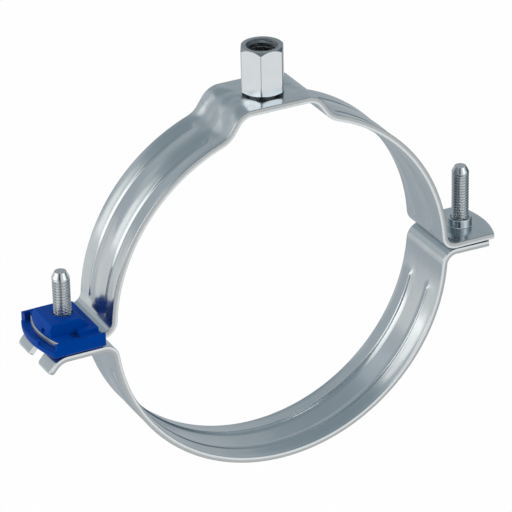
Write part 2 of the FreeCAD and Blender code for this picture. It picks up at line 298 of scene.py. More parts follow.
def round_ends(moves):
    """The moves with a very short run split off at each end, where rows have to be close together."""
    return ([("run", edge_round), ("run", moves[0][1] - edge_round)] + moves[1:-1]
            + [("run", moves[-1][1] - edge_round), ("run", edge_round)])


def worked(distance, bends):
    """1 where a bend has stretched the sheet, fading to 0 over a short way beside it."""
    nearest = min((max(start - distance, 0, distance - end) for start, end in bends), default=bend_fade)
    return bell(nearest / bend_fade)


def store(thing, name, values):
    """Keep a number for every point of a mesh, for its material to read."""
    thing.data.attributes.new(name, "FLOAT", "POINT").data.foreach_set("value", values)


def build_strap(name, stations, beads, bends, trims):
    """Closed skin of a strap. trims holds, for each end, a length and a cut-back for every column."""
    columns = strap_columns()
    total = stations[-1][2]
    points = []
    for face in (1, -1):
        for place, along, distance in stations:
            from_ends = distance, total - distance
            for across in columns:
                shift = 0.0
                for from_end, way, (length, cut_back) in zip(from_ends, (1, -1), trims):
                    shift += way * cut_back(across) * max(0.0, 1 - from_end / length)
                drop = edge_drop(min(*from_ends, half_width - abs(across)))
                lift = face * (strap_thickness / 2 - drop) - bead_depth(distance, across, beads)
                spot = place + along * shift + along * 1j * lift
                points.append((spot.real, across, spot.imag))
    wide, long = len(columns), len(stations)
    faces = []
    for first in (0, wide * long):
        for row in range(long - 1):
            for column in range(wide - 1):
                corner = first + row * wide + column
                faces.append((corner, corner + 1, corner + wide + 1, corner + wide))
    border = ([(0, column) for column in range(wide - 1)] + [(row, wide - 1) for row in range(long - 1)]
              + [(long - 1, column) for column in range(wide - 1, 0, -1)]
              + [(row, 0) for row in range(long - 1, 0, -1)])
    rim = [row * wide + column for row, column in border]
    for here, after in zip(rim, rim[1:] + rim[:1]):
        faces.append((here, after, after + wide * long, here + wide * long))
    strap = new_object(name, points, faces)
    store(strap, "stretch", [worked(station[2], bends) for station in stations for column in columns] * 2)
    store(strap, "outer_face", [1.0] * (wide * long) + [0.0] * (wide * long))
    return strap


# %% [markdown]
# ## Upper half
#
# A raised bridge carries the nut, two ears take the screws. The ear ends are bowed, and round each
# screw the metal is drawn up into a collar, which gives the tapped hole more turns of thread than the
# bare sheet would. The collar is spun on the lathe with a small hollow at its root and joined on. The
# hollow stops 2 degrees short of level, so that it meets the sheet in a clean line.

# %% Upper strap
inner_radius = seat_radius + shoulder_depth + groove_depth
middle_radius = inner_radius + strap_thickness / 2
upper_ear_underside = -0.75
upper_ear_middle = upper_ear_underside + strap_thickness / 2
ear_bend = 4.5
bridge_flat_half = 10.0
bridge_slope = 55.5
bridge_top_bend = 6.4
bridge_foot_bend = 8.5
upper_bead_start, upper_bead_end = 5.0, 68.0
ear_bow = 2.7


def bowed_end(across):
    """Cut-back of an ear end, which is one arc from corner to corner."""
    radius = (half_width ** 2 + ear_bow ** 2) / (2 * ear_bow)
    return radius - math.sqrt(radius ** 2 - across ** 2)


shoulder = bridge_flat_half + 1j * (bridge_height - strap_thickness / 2 - bridge_top_bend)
leg_start = shoulder + heading_of(90 - bridge_slope) * bridge_top_bend
leg_length, foot_angle = fillet_to_ring(leg_start, -bridge_slope, 1, bridge_foot_bend, 0, middle_radius)
ear_length, ear_angle = fillet_to_ring(ear_tip_reach + 1j * upper_ear_middle, 180, -1, ear_bend,
                                       0, middle_radius)
half_path = [("bend", bridge_top_bend, -bridge_slope),
             ("run", leg_length),
             ("bend", bridge_foot_bend, foot_angle - 90 + bridge_slope),
             ("bend", middle_radius, ear_angle - foot_angle),
             ("bend", ear_bend, 90 - ear_angle),
             ("run", ear_length)]
upper_moves = half_path[::-1] + [("run", 2 * bridge_flat_half)] + half_path
upper_stations = trace(-ear_tip_reach + 1j * upper_ear_middle, 0, round_ends(upper_moves))
to_ring = ear_length + ear_bend * math.radians(90 - ear_angle)
bead_from = to_ring + middle_radius * math.radians(upper_bead_start - ear_angle)
bead_to = to_ring + middle_radius * math.radians(upper_bead_end - ear_angle)
upper_length = upper_stations[-1][2]
ear_trim = (ear_tip_reach - screw_reach, bowed_end)
upper_strap = build_strap("upper_strap", upper_stations,
                          [(bead_from, bead_to, shoulder_reach),
                           (upper_length - bead_to, upper_length - bead_from, shoulder_reach)],
                          tight_spans(upper_moves)[1:-1], (ear_trim, ear_trim))
print(f"upper strap: {upper_length:.0f} mm of band, {len(upper_strap.data.polygons)} faces")

# %% Collars round the screws
collar_radius = 4.1
collar_height = 2.85
collar_root = 0.25
collar_lip = 0.35
collar_bore = 3.05
upper_ear_top = upper_ear_underside + strap_thickness
collar_top = upper_ear_top + collar_height


def arc(centre, radius, start, end, steps=5):
    """Points of an arc in an outline, with angles in degrees."""
    angles = [math.radians(start + (end - start) * step / steps) for step in range(steps + 1)]
    return [(centre[0] + radius * math.cos(angle), centre[1] + radius * math.sin(angle))
            for angle in angles]


root_radius = collar_radius + collar_root
collar_outline = ([(root_radius, upper_ear_middle)]
                  + arc((root_radius, upper_ear_top + collar_root), collar_root, 268, 180)
                  + arc((collar_radius - collar_lip, collar_top - collar_lip), collar_lip, 0, 90))
bore_outline = [(collar_bore, upper_ear_underside - PAST), (collar_bore, collar_top - collar_lip),
                (collar_bore + 2 * collar_lip, collar_top + collar_lip)]
for side in (-1, 1):
    carve(upper_strap, lathe("collar", collar_outline, HOLE_SIDES, (side * screw_reach, 0)), "UNION")
    carve(upper_strap, lathe("collar_bore", bore_outline, HOLE_SIDES, (side * screw_reach, 0)))
print("open edges of the upper strap:", count_open_edges(upper_strap))

# %% [markdown]
# ## Lower half
#
# The lower half hangs a little lower than the upper one, so the ring is not quite round. Its right ear
# is plain. Its left ear is a fork: an open slot lets the screw swing in, and the two tabs are turned
# down so that the screw's head can't slide out once it is tight.

# %% Lower strap
lower_centre = -0.85j
right_ear_gap = 0.1
right_ear_droop = 1.0
right_ear_setback = 2.0
clip_plate_gap = 2.85
slot_width = 7.2
tab_bend = 6.0
tab_bend_run = 4.0
tab_angle = 50.0
tab_straight = 2.9
tab_corner = 1.6
lower_bead_margin = 15.2
lower_middle_reach = 2.6
screw_hole_radius = 3.3

right_tip_reach = ear_tip_reach - right_ear_setback
right_ear_middle = (upper_ear_underside - right_ear_gap - strap_thickness / 2
                    - (right_tip_reach - middle_radius) * math.tan(math.radians(right_ear_droop)))
left_ear_middle = upper_ear_underside - clip_plate_gap - strap_thickness / 2
right_tip = right_tip_reach + 1j * right_ear_middle
tab_bend_start = -screw_reach - tab_bend_run + 1j * left_ear_middle
right_length, right_angle = fillet_to_ring(right_tip, 180 - right_ear_droop, 1, ear_bend,
                                           lower_centre, middle_radius)
left_length, left_angle = fillet_to_ring(tab_bend_start, 0, -1, ear_bend, lower_centre, middle_radius)
right_turn = right_angle + 90 + right_ear_droop
lower_moves = [("run", right_length),
               ("bend", ear_bend, right_turn),
               ("bend", middle_radius, left_angle - right_angle),
               ("bend", ear_bend, -90 - left_angle),
               ("run", left_length),
               ("bend", tab_bend, tab_angle),
               ("run", tab_straight)]


def tab_end(across):
    """Cut-back of the tabs: rounded corners outside, and smaller ones beside the slot."""
    outside = tab_corner - (half_width - abs(across))
    inside = tab_corner / 2 - (abs(across) - slot_width / 2)
    cut_back = 0.0
    for depth, radius in ((outside, tab_corner), (inside, tab_corner / 2)):
        if 0 < depth < radius:
            cut_back = radius - math.sqrt(radius ** 2 - depth ** 2)
        elif depth >= radius:
            cut_back = radius
    return cut_back


lower_stations = trace(right_tip, 180 - right_ear_droop, round_ends(lower_moves))
ring_from = right_length + ear_bend * math.radians(right_turn)
lower_bead = (ring_from + middle_radius * math.radians(right_angle + lower_bead_margin),
              ring_from + middle_radius * math.radians(right_angle + 180 - lower_bead_margin),
              lower_middle_reach)
lower_strap = build_strap("lower_strap", lower_stations, [lower_bead], [],
                          ((right_tip_reach - screw_reach, bowed_end), (tab_straight, tab_end)))
print(f"lower strap: {lower_stations[-1][2]:.0f} mm of band, {len(lower_strap.data.polygons)} faces")

# %% Slot and screw hole of the lower strap
lowest = left_ear_middle - 2 * tab_bend


def upright_cut(name, radius, place):
    """Round cutter through the lower ears, at a place along them."""
    return lathe(name, [(radius, lowest), (radius, upper_ear_underside)], HOLE_SIDES, (place, 0))


slot_cut = upright_cut("slot", slot_width / 2, -screw_reach)
carve(slot_cut, block("slot_way", (-2 * screw_reach, -slot_width / 2, lowest),
                      (-screw_reach, slot_width / 2, upper_ear_underside)), "UNION")
carve(lower_strap, slot_cut)
carve(lower_strap, upright_cut("screw_hole", screw_hole_radius, screw_reach))
print("open edges of the lower strap:", count_open_edges(lower_strap))

# %% [markdown]
# ## Screws with real threads
#
# The closing screws are M6, whose thread has a pitch of 1 mm. A thread is a ridge that climbs one pitch
# in a turn, so its radius depends only on height divided by pitch less the share of a turn. Adding that
# wave to the lathe gives a true helix in one closed mesh. The screws' thread is rolled, not cut, so its
# crests and roots are soft. It fades out before the tip, which is a plain cone that finds the hole.
# Every point also keeps how deep it lies, and the root of a thread is painted darker: partly duller zinc, partly
# painted shade.

# %% Thread form
crest_flat = 1 / 8
root_flat = 1 / 4


def ridge(height, turn, pitch):
    """0 at the root of a thread and 1 on its crest, with the flats and flanks of a metric thread."""
    share = (height / pitch - turn / (2 * math.pi)) % 1.0
    from_crest = 2 * abs(share - 0.5)
    return min(1.0, max(0.0, (1 - root_flat - from_crest) / (1 - root_flat - crest_flat)))


def smooth(share):
    """0 to 1 with soft ends."""
    share = min(1.0, max(0.0, share))
    return share * share * (3 - 2 * share)


# %% Closing screws
screw_pitch = 1.0
thread_radius = 2.98
thread_depth = 0.46
thread_rows = 12
screw_sides = 72
root_shade_share = 0.2
tip_length = 2.0
tip_radius = 2.0
head_height = 3.3
head_rim = 1.2
head_face_radius = 3.4
head_round = 0.5
cross_length, cross_width, cross_depth = 4.6, 1.1, 1.8


def make_screw(name, node):
    """Screw where the frame has it: round head with a cross recess, thread, and a plain tip."""
    low, high = box_mm(node)
    middle = (low.x + high.x) / 2, (low.y + high.y) / 2
    head_radius = (high.x - low.x) / 2
    head_top = low.z + head_height
    thread_end = high.z - tip_length
    rows = int((thread_end - head_top) / screw_pitch * thread_rows)
    outline = ([(NEAR_AXIS, low.z), (head_face_radius, low.z)]
               + arc((head_radius - head_round, low.z + head_rim), head_round, -45, 0)
               + arc((head_radius - head_round / 2, head_top - head_round / 2), head_round / 2, 0, 90)
               + [(thread_radius, head_top)]
               + [(thread_radius, head_top + (thread_end - head_top) * (row + 1) / rows)
                  for row in range(rows)]
               + [(tip_radius, high.z), (NEAR_AXIS, high.z)])

    def thread(turn, height):
        """How far the thread lies below its crest's radius, as a negative number."""
        if height <= head_top or height > thread_end:
            return 0.0
        fade = smooth((thread_end - height) / screw_pitch) * smooth((height - head_top) / screw_pitch)
        return -thread_depth * fade * (1 - smooth(ridge(height, turn, screw_pitch)))

    screw = lathe(name, outline, screw_sides, middle, thread)
    # The depth of each point sets how dark its thread root is painted: partly duller zinc, partly painted shade.
    store(screw, "root", [root_shade_share * -thread(2 * math.pi * side / screw_sides, height) / thread_depth
                          for radius, height in outline for side in range(screw_sides)])
    for length, width in ((cross_length, cross_width), (cross_width, cross_length)):
        carve(screw, block("cross", (middle[0] - length / 2, -width / 2, low.z - PAST),
                           (middle[0] + length / 2, width / 2, low.z + cross_depth)))
    print(f"{name}: {high.z - head_top:.1f} mm long, {(thread_end - head_top) / screw_pitch:.0f} turns, "
          f"open edges {count_open_edges(screw)}")
    return screw


right_screw = make_screw("right_screw", "closing_screw_right")
left_screw = make_screw("left_screw", "closing_screw_left")

# %% [markdown]
# ## Connection nut
#
# The nut is cut from a drawn hexagon bar, so its six corners are slightly round. The lathe then faces
# it and chamfers both ends, which is why the flats end in curved tops. Here the hexagon is met with a
# spun blank in just that way, and the M10 thread, whose pitch is 1.5 mm, is cut with a threaded core. A
# short neck, wider where the weld has run out, joins the nut to the bridge.

# %% Nut body
nut_low, nut_high = box_mm("connection_nut")
nut_across_flats = nut_high.y - nut_low.y
nut_neck_height = 0.7
nut_neck_radius = 5.2
weld_reach = 0.6
weld_sink = 0.2
weld_rim = 0.02
weld_share = 0.6
nut_sides = 96
nut_corner_round = 0.9
nut_face_outset = 0.05
nut_top_chamfer = 47.0
nut_bottom_chamfer = 30.0


def hexagon_outline(across_flats, rounding):
    """Corner points of a hexagon whose corners are rounded."""
    heart = (across_flats / 2 - rounding) / math.cos(math.radians(30))
    points = []
    for corner in range(0, 360, 60):
        centre = heart * math.cos(math.radians(corner)), heart * math.sin(math.radians(corner))
        points += arc(centre, rounding, corner - 30, corner + 30, 4)
    return points


def prism(name, outline, bottom, top):
    """Closed upright prism over a plan outline."""
    count = len(outline)
    points = [(x, y, height) for height in (bottom, top) for x, y in outline]
    faces = [(side, (side + 1) % count, (side + 1) % count + count, side + count)
             for side in range(count)]
    return new_object(name, points, faces + [tuple(range(count))[::-1], tuple(range(count, 2 * count))])


nut_bottom = nut_low.z + nut_neck_height
face_radius = nut_across_flats / 2 + nut_face_outset
widest = nut_across_flats / 2 / math.cos(math.radians(30))
top_drop = (widest - face_radius) * math.tan(math.radians(nut_top_chamfer))
bottom_drop = (widest - face_radius) * math.tan(math.radians(nut_bottom_chamfer))
blank = [(NEAR_AXIS, nut_bottom), (face_radius, nut_bottom), (widest, nut_bottom + bottom_drop),
         (widest, nut_high.z - top_drop), (face_radius, nut_high.z), (NEAR_AXIS, nut_high.z)]
nut = prism("nut", hexagon_outline(nut_across_flats, nut_corner_round),
            nut_bottom - PAST, nut_high.z + PAST)
carve(nut, lathe("nut_blank", blank, nut_sides), "INTERSECT")
neck = [(NEAR_AXIS, nut_low.z - weld_sink), (nut_neck_radius + weld_reach, nut_low.z - weld_sink),
        (nut_neck_radius + weld_reach, nut_low.z + weld_rim),
        (nut_neck_radius, nut_low.z + nut_neck_height * weld_share),
        (nut_neck_radius, nut_bottom + PAST), (NEAR_AXIS, nut_bottom + PAST)]
carve(nut, lathe("nut_neck", neck, nut_sides), "UNION")
print(f"nut: {nut_across_flats:.1f} mm across flats, corners {nut_corner_round} mm round")

# %% Nut thread
nut_pitch = 1.5
nut_root_radius = 5.0
nut_crest_radius = 4.25
nut_mouth_radius = 5.3
mouth_inside, mouth_outside = 0.2, 0.5


def nut_thread(turn, height):
    """The core's ridge: what it cuts is the groove between the nut's own ridges."""
    if height < nut_low.z or height > nut_high.z - (nut_mouth_radius - nut_root_radius):
        return 0.0
    return (nut_root_radius - nut_crest_radius) * ridge(height, turn, nut_pitch)


core_rows = int((nut_high.z - nut_low.z + PAST) / nut_pitch * thread_rows)
core_length = nut_high.z - nut_low.z + 2 * PAST
core_outline = [(nut_crest_radius, nut_low.z - PAST + core_length * row / core_rows)
                for row in range(core_rows + 1)]
carve(nut, lathe("nut_core", core_outline, HOLE_SIDES, (0, 0), nut_thread))
mouth_depth = nut_mouth_radius - nut_crest_radius
mouth_outline = [(nut_crest_radius - mouth_inside, nut_high.z - mouth_depth - mouth_inside),
                 (nut_mouth_radius + mouth_outside, nut_high.z + mouth_outside)]
carve(nut, lathe("nut_mouth", mouth_outline, nut_sides))
print("open edges of the nut:", count_open_edges(nut))

# %% [markdown]
# ## Plastic clip
#
# The clip is moulded, so no edge on it is truly sharp. Its form in the frame is right but its edges are
# not, so a copy is cleaned of the triangles on its flat faces and every edge is given a small round.

# %% Clip with moulded edges
clip_round = 0.16
sharp_from = math.radians(28)
flat_within = math.radians(1)
same_point_within = 0.002

clip_mesh = frame["nodes"]["retaining_clip"].data.copy()
shape = bmesh.new()
shape.from_mesh(clip_mesh)
bmesh.ops.remove_doubles(shape, verts=shape.verts, dist=same_point_within * MM)
bmesh.ops.dissolve_limit(shape, angle_limit=flat_within, verts=shape.verts, edges=shape.edges)
edges = [edge for edge in shape.edges if edge.is_manifold and edge.calc_face_angle() > sharp_from]
bmesh.ops.bevel(shape, geom=edges, offset=clip_round * MM, offset_type="OFFSET", segments=2, profile=0.5,
                affect="EDGES", clamp_overlap=True)
shape.to_mesh(clip_mesh)
shape.free()
clip = bpy.data.objects.new("blue_clip", clip_mesh)
bpy.context.scene.collection.objects.link(clip)
print(f"clip: {len(edges)} edges rounded by {clip_round} mm, open edges {count_open_edges(clip)}")

# %% [markdown]
# ## One way to make nodes
#
# A material is a small graph. One function adds a node with its settings and links and hands back the
# node, so a material reads as a list of what its surface is made of. Colours are written as sRGB hex
# values, the way a paint card gives them, and are turned to the linear values that the renderer mixes.

# %% Node and colour helpers
def linear(hex_colour):
    """Linear colour with alpha for an sRGB hex value."""
    channels = [int(hex_colour[start:start + 2], 16) / 255 for start in (1, 3, 5)]
    return tuple(c / 12.92 if c <= 0.04045 else ((c + 0.055) / 1.055) ** 2.4 for c in channels) + (1.0,)


def add_node(tree, kind, settings=None, inputs=None):
    """Node of a kind, with its settings, and each input set to a value or linked to a socket."""
    node = tree.nodes.new(kind)
    for name, value in (settings or {}).items():
        setattr(node, name, value)
    for name, value in (inputs or {}).items():
        if isinstance(value, bpy.types.NodeSocket):
            tree.links.new(value, node.inputs[name])
        else:
            node.inputs[name].default_value = value
    return node


def new_material(name):
    """Material with an empty graph, and that graph."""
    material = bpy.data.materials.new(name)
    material.use_nodes = True
    material.node_tree.nodes.clear()
    return material, material.node_tree


# %% [markdown]
# ## Zinc-plated strip
#
# The straps are cold-rolled steel strip, plated with zinc and passivated to a faint blue. Rolling leaves
# fine lines along the strip, and plating leaves a cloudy, slightly uneven sheen, so reflections are
# clear but soft. The lines are really about 0.05 mm apart. They are drawn 0.35 mm apart, because finer
# ones vanish at this distance. Base colour and roughness are those of bright zinc. Where the press has
# bent the strip tightly, its skin has stretched: it is duller, and ripples in slow waves that break a
# reflection into bright patches. The waves are a bump, and are moved so that a patch falls on the
# bridge's slope as in the photograph.

# %% Zinc-plated strip material
line_squeeze = 0.02
line_strength = 0.35
sheen_below, sheen_above = 0.03, 0.05
stretch_dulling = 0.1
wave_size = 8.0
wave_shift = Vector((10.7, -3.0, 5.5)) * MM
flat_wave, bent_wave = 0.08, 1.5
# Tone of a thread's root: partly duller zinc, partly painted shade in the root.
root_shade_tone = "#5F6568"


def zinc_plate(name, colour, cloud_colour, roughness, line_spacing, line_depth, cloud_size=9.0):
    """Bright zinc over drawn or rolled steel: lines along it, a cloudy sheen, and waves in a strap."""
    material, tree = new_material(name)
    place = add_node(tree, "ShaderNodeTexCoord").outputs["Object"]
    along = add_node(tree, "ShaderNodeMapping", {},
                     {"Vector": place, "Scale": (line_squeeze, 1.0, line_squeeze)})
    lines = add_node(tree, "ShaderNodeTexNoise", {},
                     {"Vector": along.outputs["Vector"], "Scale": 1 / (line_spacing * MM), "Detail": 2.0,
                      "Roughness": 0.6})
    clouds = add_node(tree, "ShaderNodeTexNoise", {},
                      {"Vector": place, "Scale": 1 / (cloud_size * MM), "Detail": 4.0, "Roughness": 0.55})
    wave_place = add_node(tree, "ShaderNodeMapping", {}, {"Vector": place, "Location": wave_shift})
    slow = add_node(tree, "ShaderNodeTexNoise", {},
                    {"Vector": wave_place.outputs["Vector"], "Scale": 1 / (wave_size * MM), "Detail": 1.0,
                     "Roughness": 0.4})
    tone = add_node(tree, "ShaderNodeMix", {"data_type": "RGBA"},
                    {"Factor": clouds.outputs["Fac"], "A": linear(colour), "B": linear(cloud_colour)})
    # Thread roots are painted darker: partly duller zinc, partly painted shade.
    root = add_node(tree, "ShaderNodeAttribute", {"attribute_name": "root"}).outputs["Fac"]
    root_shaded = add_node(tree, "ShaderNodeMix", {"data_type": "RGBA"},
                      {"Factor": root, "A": tone.outputs["Result"], "B": linear(root_shade_tone)})
    sheen = add_node(tree, "ShaderNodeMapRange", {},
                     {"Value": clouds.outputs["Fac"], "From Min": 0.3, "From Max": 0.7,
                      "To Min": roughness - sheen_below, "To Max": roughness + sheen_above})
    stretch = add_node(tree, "ShaderNodeAttribute", {"attribute_name": "stretch"}).outputs["Fac"]
    dulled = add_node(tree, "ShaderNodeMath", {"operation": "MULTIPLY_ADD"},
                      {0: stretch, 1: stretch_dulling, 2: sheen.outputs["Result"]})
    wave_depth = add_node(tree, "ShaderNodeMapRange", {},
                          {"Value": stretch, "To Min": flat_wave * MM, "To Max": bent_wave * MM})
    waves = add_node(tree, "ShaderNodeBump", {},
                     {"Height": slow.outputs["Fac"], "Distance": wave_depth.outputs["Result"]})
    bump = add_node(tree, "ShaderNodeBump", {},
                    {"Height": lines.outputs["Fac"], "Strength": line_strength,
                     "Distance": line_depth * MM, "Normal": waves.outputs["Normal"]})
    metal = add_node(tree, "ShaderNodeBsdfPrincipled", {},
                     {"Base Color": root_shaded.outputs["Result"], "Metallic": 1.0,
                      "Roughness": dulled.outputs[0], "Normal": bump.outputs["Normal"]})
    add_node(tree, "ShaderNodeOutputMaterial", {}, {"Surface": metal.outputs["BSDF"]})
    return material


strip_zinc = zinc_plate("zinc_plated_cold_rolled_strip", "#CBD2D6", "#BFC7CC", 0.20, 0.35, 0.004)
print("strap finish:", strip_zinc.name)

# %% [markdown]
# ## Sheared edges
#
# A shear cuts the first third of the sheet cleanly and tears the rest. So the edge has two bands under
# its zinc, a bright burnished one by the inner face and a duller torn one by the outer face. The strap
# knows for every point which face it belongs to, and that number runs from 0 to 1 across the edge.

# %% Sheared edge material
burnished_share = 0.4
band_blend = 0.3
tear_size, tear_depth, tear_reach = 1.0, 0.03, 0.3
burnished_tone, torn_tone = "#DCE1E3", "#BBBEBE"
burnished_roughness, torn_roughness = 0.4, 0.5

sheared_zinc, shear_tree = new_material("zinc_plated_sheared_edge")
shear_place = add_node(shear_tree, "ShaderNodeTexCoord").outputs["Object"]
tearing = add_node(shear_tree, "ShaderNodeTexNoise", {},
                   {"Vector": shear_place, "Scale": 1 / (tear_size * MM), "Detail": 3.0,
                    "Roughness": 0.6})
across_edge = add_node(shear_tree, "ShaderNodeAttribute", {"attribute_name": "outer_face"}).outputs["Fac"]
torn_line = add_node(shear_tree, "ShaderNodeMath", {"operation": "MULTIPLY_ADD"},
                     {0: tearing.outputs["Fac"], 1: tear_reach, 2: across_edge})
torn_share = add_node(shear_tree, "ShaderNodeMapRange", {},
                      {"Value": torn_line.outputs[0], "From Min": burnished_share,
                       "From Max": burnished_share + band_blend})
shear_tone = add_node(shear_tree, "ShaderNodeMix", {"data_type": "RGBA"},
                      {"Factor": torn_share.outputs["Result"], "A": linear(burnished_tone),
                       "B": linear(torn_tone)})
shear_dulling = add_node(shear_tree, "ShaderNodeMapRange", {},
                         {"Value": torn_share.outputs["Result"], "To Min": burnished_roughness,
                          "To Max": torn_roughness})
shear_bump = add_node(shear_tree, "ShaderNodeBump", {},
                      {"Height": tearing.outputs["Fac"], "Strength": 0.5, "Distance": tear_depth * MM})
shear_metal = add_node(shear_tree, "ShaderNodeBsdfPrincipled", {},
                       {"Base Color": shear_tone.outputs["Result"], "Metallic": 1.0,
                        "Roughness": shear_dulling.outputs["Result"],
                        "Normal": shear_bump.outputs["Normal"]})
add_node(shear_tree, "ShaderNodeOutputMaterial", {}, {"Surface": shear_metal.outputs["BSDF"]})
print("edge finish:", sheared_zinc.name)

# %% [markdown]
# ## Zinc-plated nut and screws
#
# The nut is drawn hexagon bar and the screws have rolled threads. Both are smoother than strip, because
# a die has burnished them, so the same plating looks brighter on them. The nut's turned ends keep the
# tool's fine grooves and look greyer. The tapped thread inside and its countersunk mouth are painted
# darker: partly the thinner zinc there, partly painted shade, since little light reaches them.

# %% Nut and screw materials
bar_zinc = zinc_plate("zinc_plated_drawn_bar", "#D8DCDE", "#CFD4D7", 0.13, 0.5, 0.001, 5.0)
turned_zinc = zinc_plate("zinc_plated_turned_face", "#AEB4B6", "#9CA3A5", 0.26, 0.5, 0.004, 2.5)
# Darker than the bar: partly thinner zinc in the tapped thread, partly painted shade in the bore and its
# countersunk mouth.
shaded_tapped_zinc = zinc_plate("zinc_plated_tapped_thread_with_painted_shade", "#858C8F", "#74797C", 0.40, 0.5, 0.001, 3.0)
thread_zinc = zinc_plate("zinc_plated_rolled_thread", "#D0D4D6", "#C4C9CC", 0.17, 0.5, 0.001, 2.0)
print("fastener finishes:", bar_zinc.name, turned_zinc.name, shaded_tapped_zinc.name, thread_zinc.name)

# %% [markdown]
# ## Blue polyamide
#
# The clip is polyamide, moulded in a fine-eroded tool. It is coloured right through, with a soft gloss
# and a grain so fine that it only blurs the highlight. Polyamide's index of refraction is 1.53. Its
# highlight is tinted, because the photograph holds almost no red anywhere on the clip.

# %% Blue polyamide material
grain_size, grain_depth = 0.25, 0.01
flow_size = 5.0
blue_plastic, plastic_tree = new_material("blue_moulded_polyamide")
plastic_place = add_node(plastic_tree, "ShaderNodeTexCoord").outputs["Object"]
grain = add_node(plastic_tree, "ShaderNodeTexNoise", {},
                 {"Vector": plastic_place, "Scale": 1 / (grain_size * MM), "Detail": 3.0,
                  "Roughness": 0.6})
flow = add_node(plastic_tree, "ShaderNodeTexNoise", {},
                {"Vector": plastic_place, "Scale": 1 / (flow_size * MM), "Detail": 2.0,
                 "Roughness": 0.5})
plastic_tone = add_node(plastic_tree, "ShaderNodeMix", {"data_type": "RGBA"},
                        {"Factor": flow.outputs["Fac"], "A": linear("#004EB4"), "B": linear("#0046A4")})
plastic_bump = add_node(plastic_tree, "ShaderNodeBump", {},
                        {"Height": grain.outputs["Fac"], "Strength": 0.3,
                         "Distance": grain_depth * MM})
plastic = add_node(plastic_tree, "ShaderNodeBsdfPrincipled", {},
                   {"Base Color": plastic_tone.outputs["Result"], "Roughness": 0.5, "IOR": 1.53,
                    "Specular IOR Level": 0.12, "Specular Tint": linear("#0A48E0"),
                    "Normal": plastic_bump.outputs["Normal"]})
add_node(plastic_tree, "ShaderNodeOutputMaterial", {}, {"Surface": plastic.outputs["BSDF"]})
print("plastic:", blue_plastic.name)

# %% [markdown]
# ## Dress the pieces
#
# The pieces are shaded smooth but for true corners. The straps have two finishes: rolled faces, and the
# sheared edge all round, which is told from them by the direction its faces look in. The nut has three
# in the same way: drawn flats, turned ends, and the tapped bore with its countersunk mouth, whose darker
# tone is partly painted shade.

# %% Shade, finish and attach
smooth_up_to = math.radians(25)
sheared_from = 0.6
level_from = 0.3
inwards_from = 0.2


def dress(thing, finish, body, node):
    """Shade a piece, give it its finish, let it ride on its body and stand for its node."""
    thing.data.materials.clear()
    thing.data.materials.append(finish)
    thing.data.polygons.foreach_set("use_smooth", [True] * len(thing.data.polygons))
    thing.data.set_sharp_from_angle(angle=smooth_up_to)
    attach(thing, body)
    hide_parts(node)
    print(f"{thing.name}: {len(thing.data.polygons)} faces, {finish.name}, rides on {body}")


dress(upper_strap, strip_zinc, "fixed_half", "upper_half")
dress(lower_strap, strip_zinc, "loose_half", "lower_half")
dress(nut, bar_zinc, "fixed_half", "connection_nut")
dress(right_screw, thread_zinc, "right_screw", "closing_screw_right")
dress(left_screw, thread_zinc, "left_screw", "closing_screw_left")
dress(clip, blue_plastic, "fixed_half", "retaining_clip")


def is_sheared(polygon):
    """True for a face of the cut border: it looks along the pipe, or outwards at the end of an ear."""
    x, y, z = polygon.center / MM
    if z > upper_ear_top and math.hypot(abs(x) - screw_reach, y) < root_radius:
        return False
    outwards = polygon.normal.x * math.copysign(1, x)
    beyond_screw = abs(x) > screw_reach + slot_width / 2
    at_end = beyond_screw and outwards > sheared_from and polygon.normal.z < level_from
    return abs(polygon.normal.y) > sheared_from or at_end


def nut_finish(polygon):
    """Place in the nut's list of finishes: 0 drawn bar, 1 turned end, 2 tapped bore and its mouth, darker with
    painted shade.
    """
    centre = polygon.center / MM
    inwards = -(centre.xy.normalized() @ polygon.normal.xy)
    if inwards > inwards_from:
        return 2
    return int(abs(polygon.normal.z) > level_from or centre.z < nut_bottom)


for strap in (upper_strap, lower_strap):
    strap.data.materials.append(sheared_zinc)
    for polygon in strap.data.polygons:
        polygon.material_index = int(is_sheared(polygon))
nut.data.materials.append(turned_zinc)
# The bore and its mouth take the darker finish, whose tone is partly painted shade.
nut.data.materials.append(shaded_tapped_zinc)
for polygon in nut.data.polygons:
    polygon.material_index = nut_finish(polygon)

# %% [markdown]
# ## Floor and studio
#
# Polished metal has no look of its own, only that of its room, so the room matters as much as the zinc.
# This one is a plain tent: a wide white wing on each side of the camera, a dark opening between them
# for the camera itself, greyer walls behind the bracket with a dim gap on the right, and a dim ceiling.
# The opening is weaker below the level of the bracket, where the floor throws light back. One function
# gives the tone of the tent's walls for a direction, and both the floor and the world use it. The
# camera itself sees plain white. The floor lies far enough below the hanging bracket that its shadow
# stays out of the picture.

# %% Tone of the tent
# Nearness to a side is 1 straight towards it, 0 square to it and -1 straight away from it.
camera_side = Vector((-0.45, -0.893, 0.0))
wall_tones = [(-1.0, "#BDC3C7"), (0.0, "#C2C8CC"), (0.22, "#FFFFFF"), (1.0, "#FFFFFF")]
# Side, nearness where the dim part starts, nearness where it is full, tone, share of it below.
dim_parts = [(Vector((0.99, 0.14, 0.0)), 0.86, 0.95, "#5C6C75", 1.0),
             (Vector((-0.61, -0.79, 0.0)), 0.94, 0.985, "#303437", 0.55)]
below_from, below_full = 0.0, -0.4


